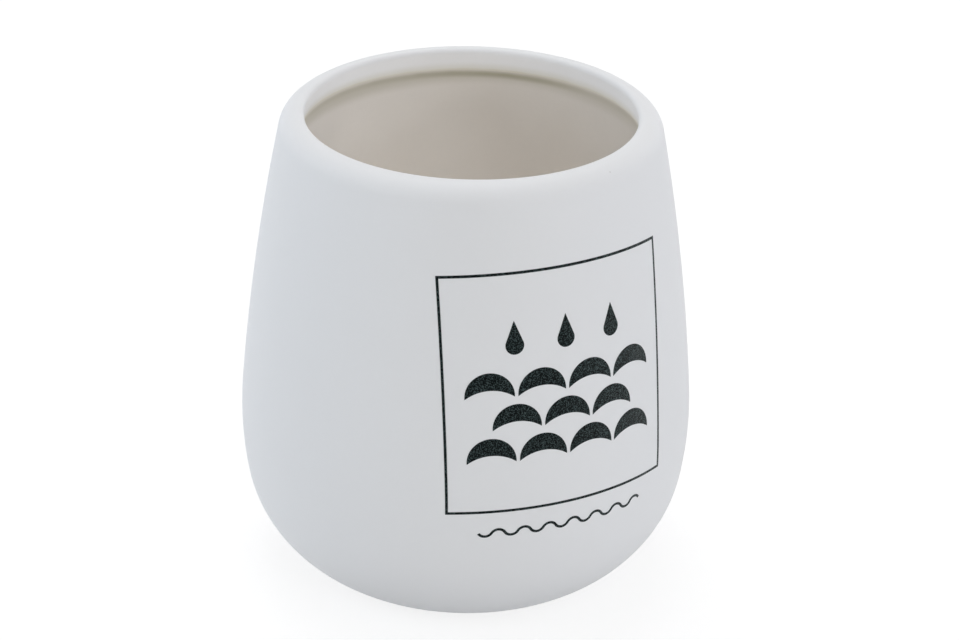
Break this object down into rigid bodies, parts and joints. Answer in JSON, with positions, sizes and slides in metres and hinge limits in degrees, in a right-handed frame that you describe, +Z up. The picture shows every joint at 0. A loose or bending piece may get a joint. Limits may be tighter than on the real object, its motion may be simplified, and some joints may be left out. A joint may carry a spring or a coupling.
{
  "type": "bathroom tumbler",
  "caption": "Rounded ceramic tumbler with a matt white coat, a greige glazed inside, a round lip, a low foot ring and a dark printed square with a wave ornament.",
  "frame": {"origin": "on the tumbler's axis, in the plane that its foot ring stands on", "axes": "+Z up along the axis of the cup, the printed side faces -Y"},
  "size_m": [0.094, 0.0941, 0.1],
  "materials": {
    "fired_clay": "bare fired clay, slightly rough",
    "matt_white_coat": "smooth matt white coat",
    "greige_glaze": "satin greige glaze",
    "print_ink": "fired screen ink, dark charcoal, slightly speckled"
  },
  "bodies": {
    "root": {"ceramic_body": "fired_clay", "outer_coat": "matt_white_coat", "inner_glaze": "greige_glaze", "print_frame": "print_ink", "print_wave_lower": "print_ink", "print_wave_middle": "print_ink", "print_wave_upper": "print_ink", "print_drops": "print_ink", "print_ripple": "print_ink"}
  },
  "joints": []
}
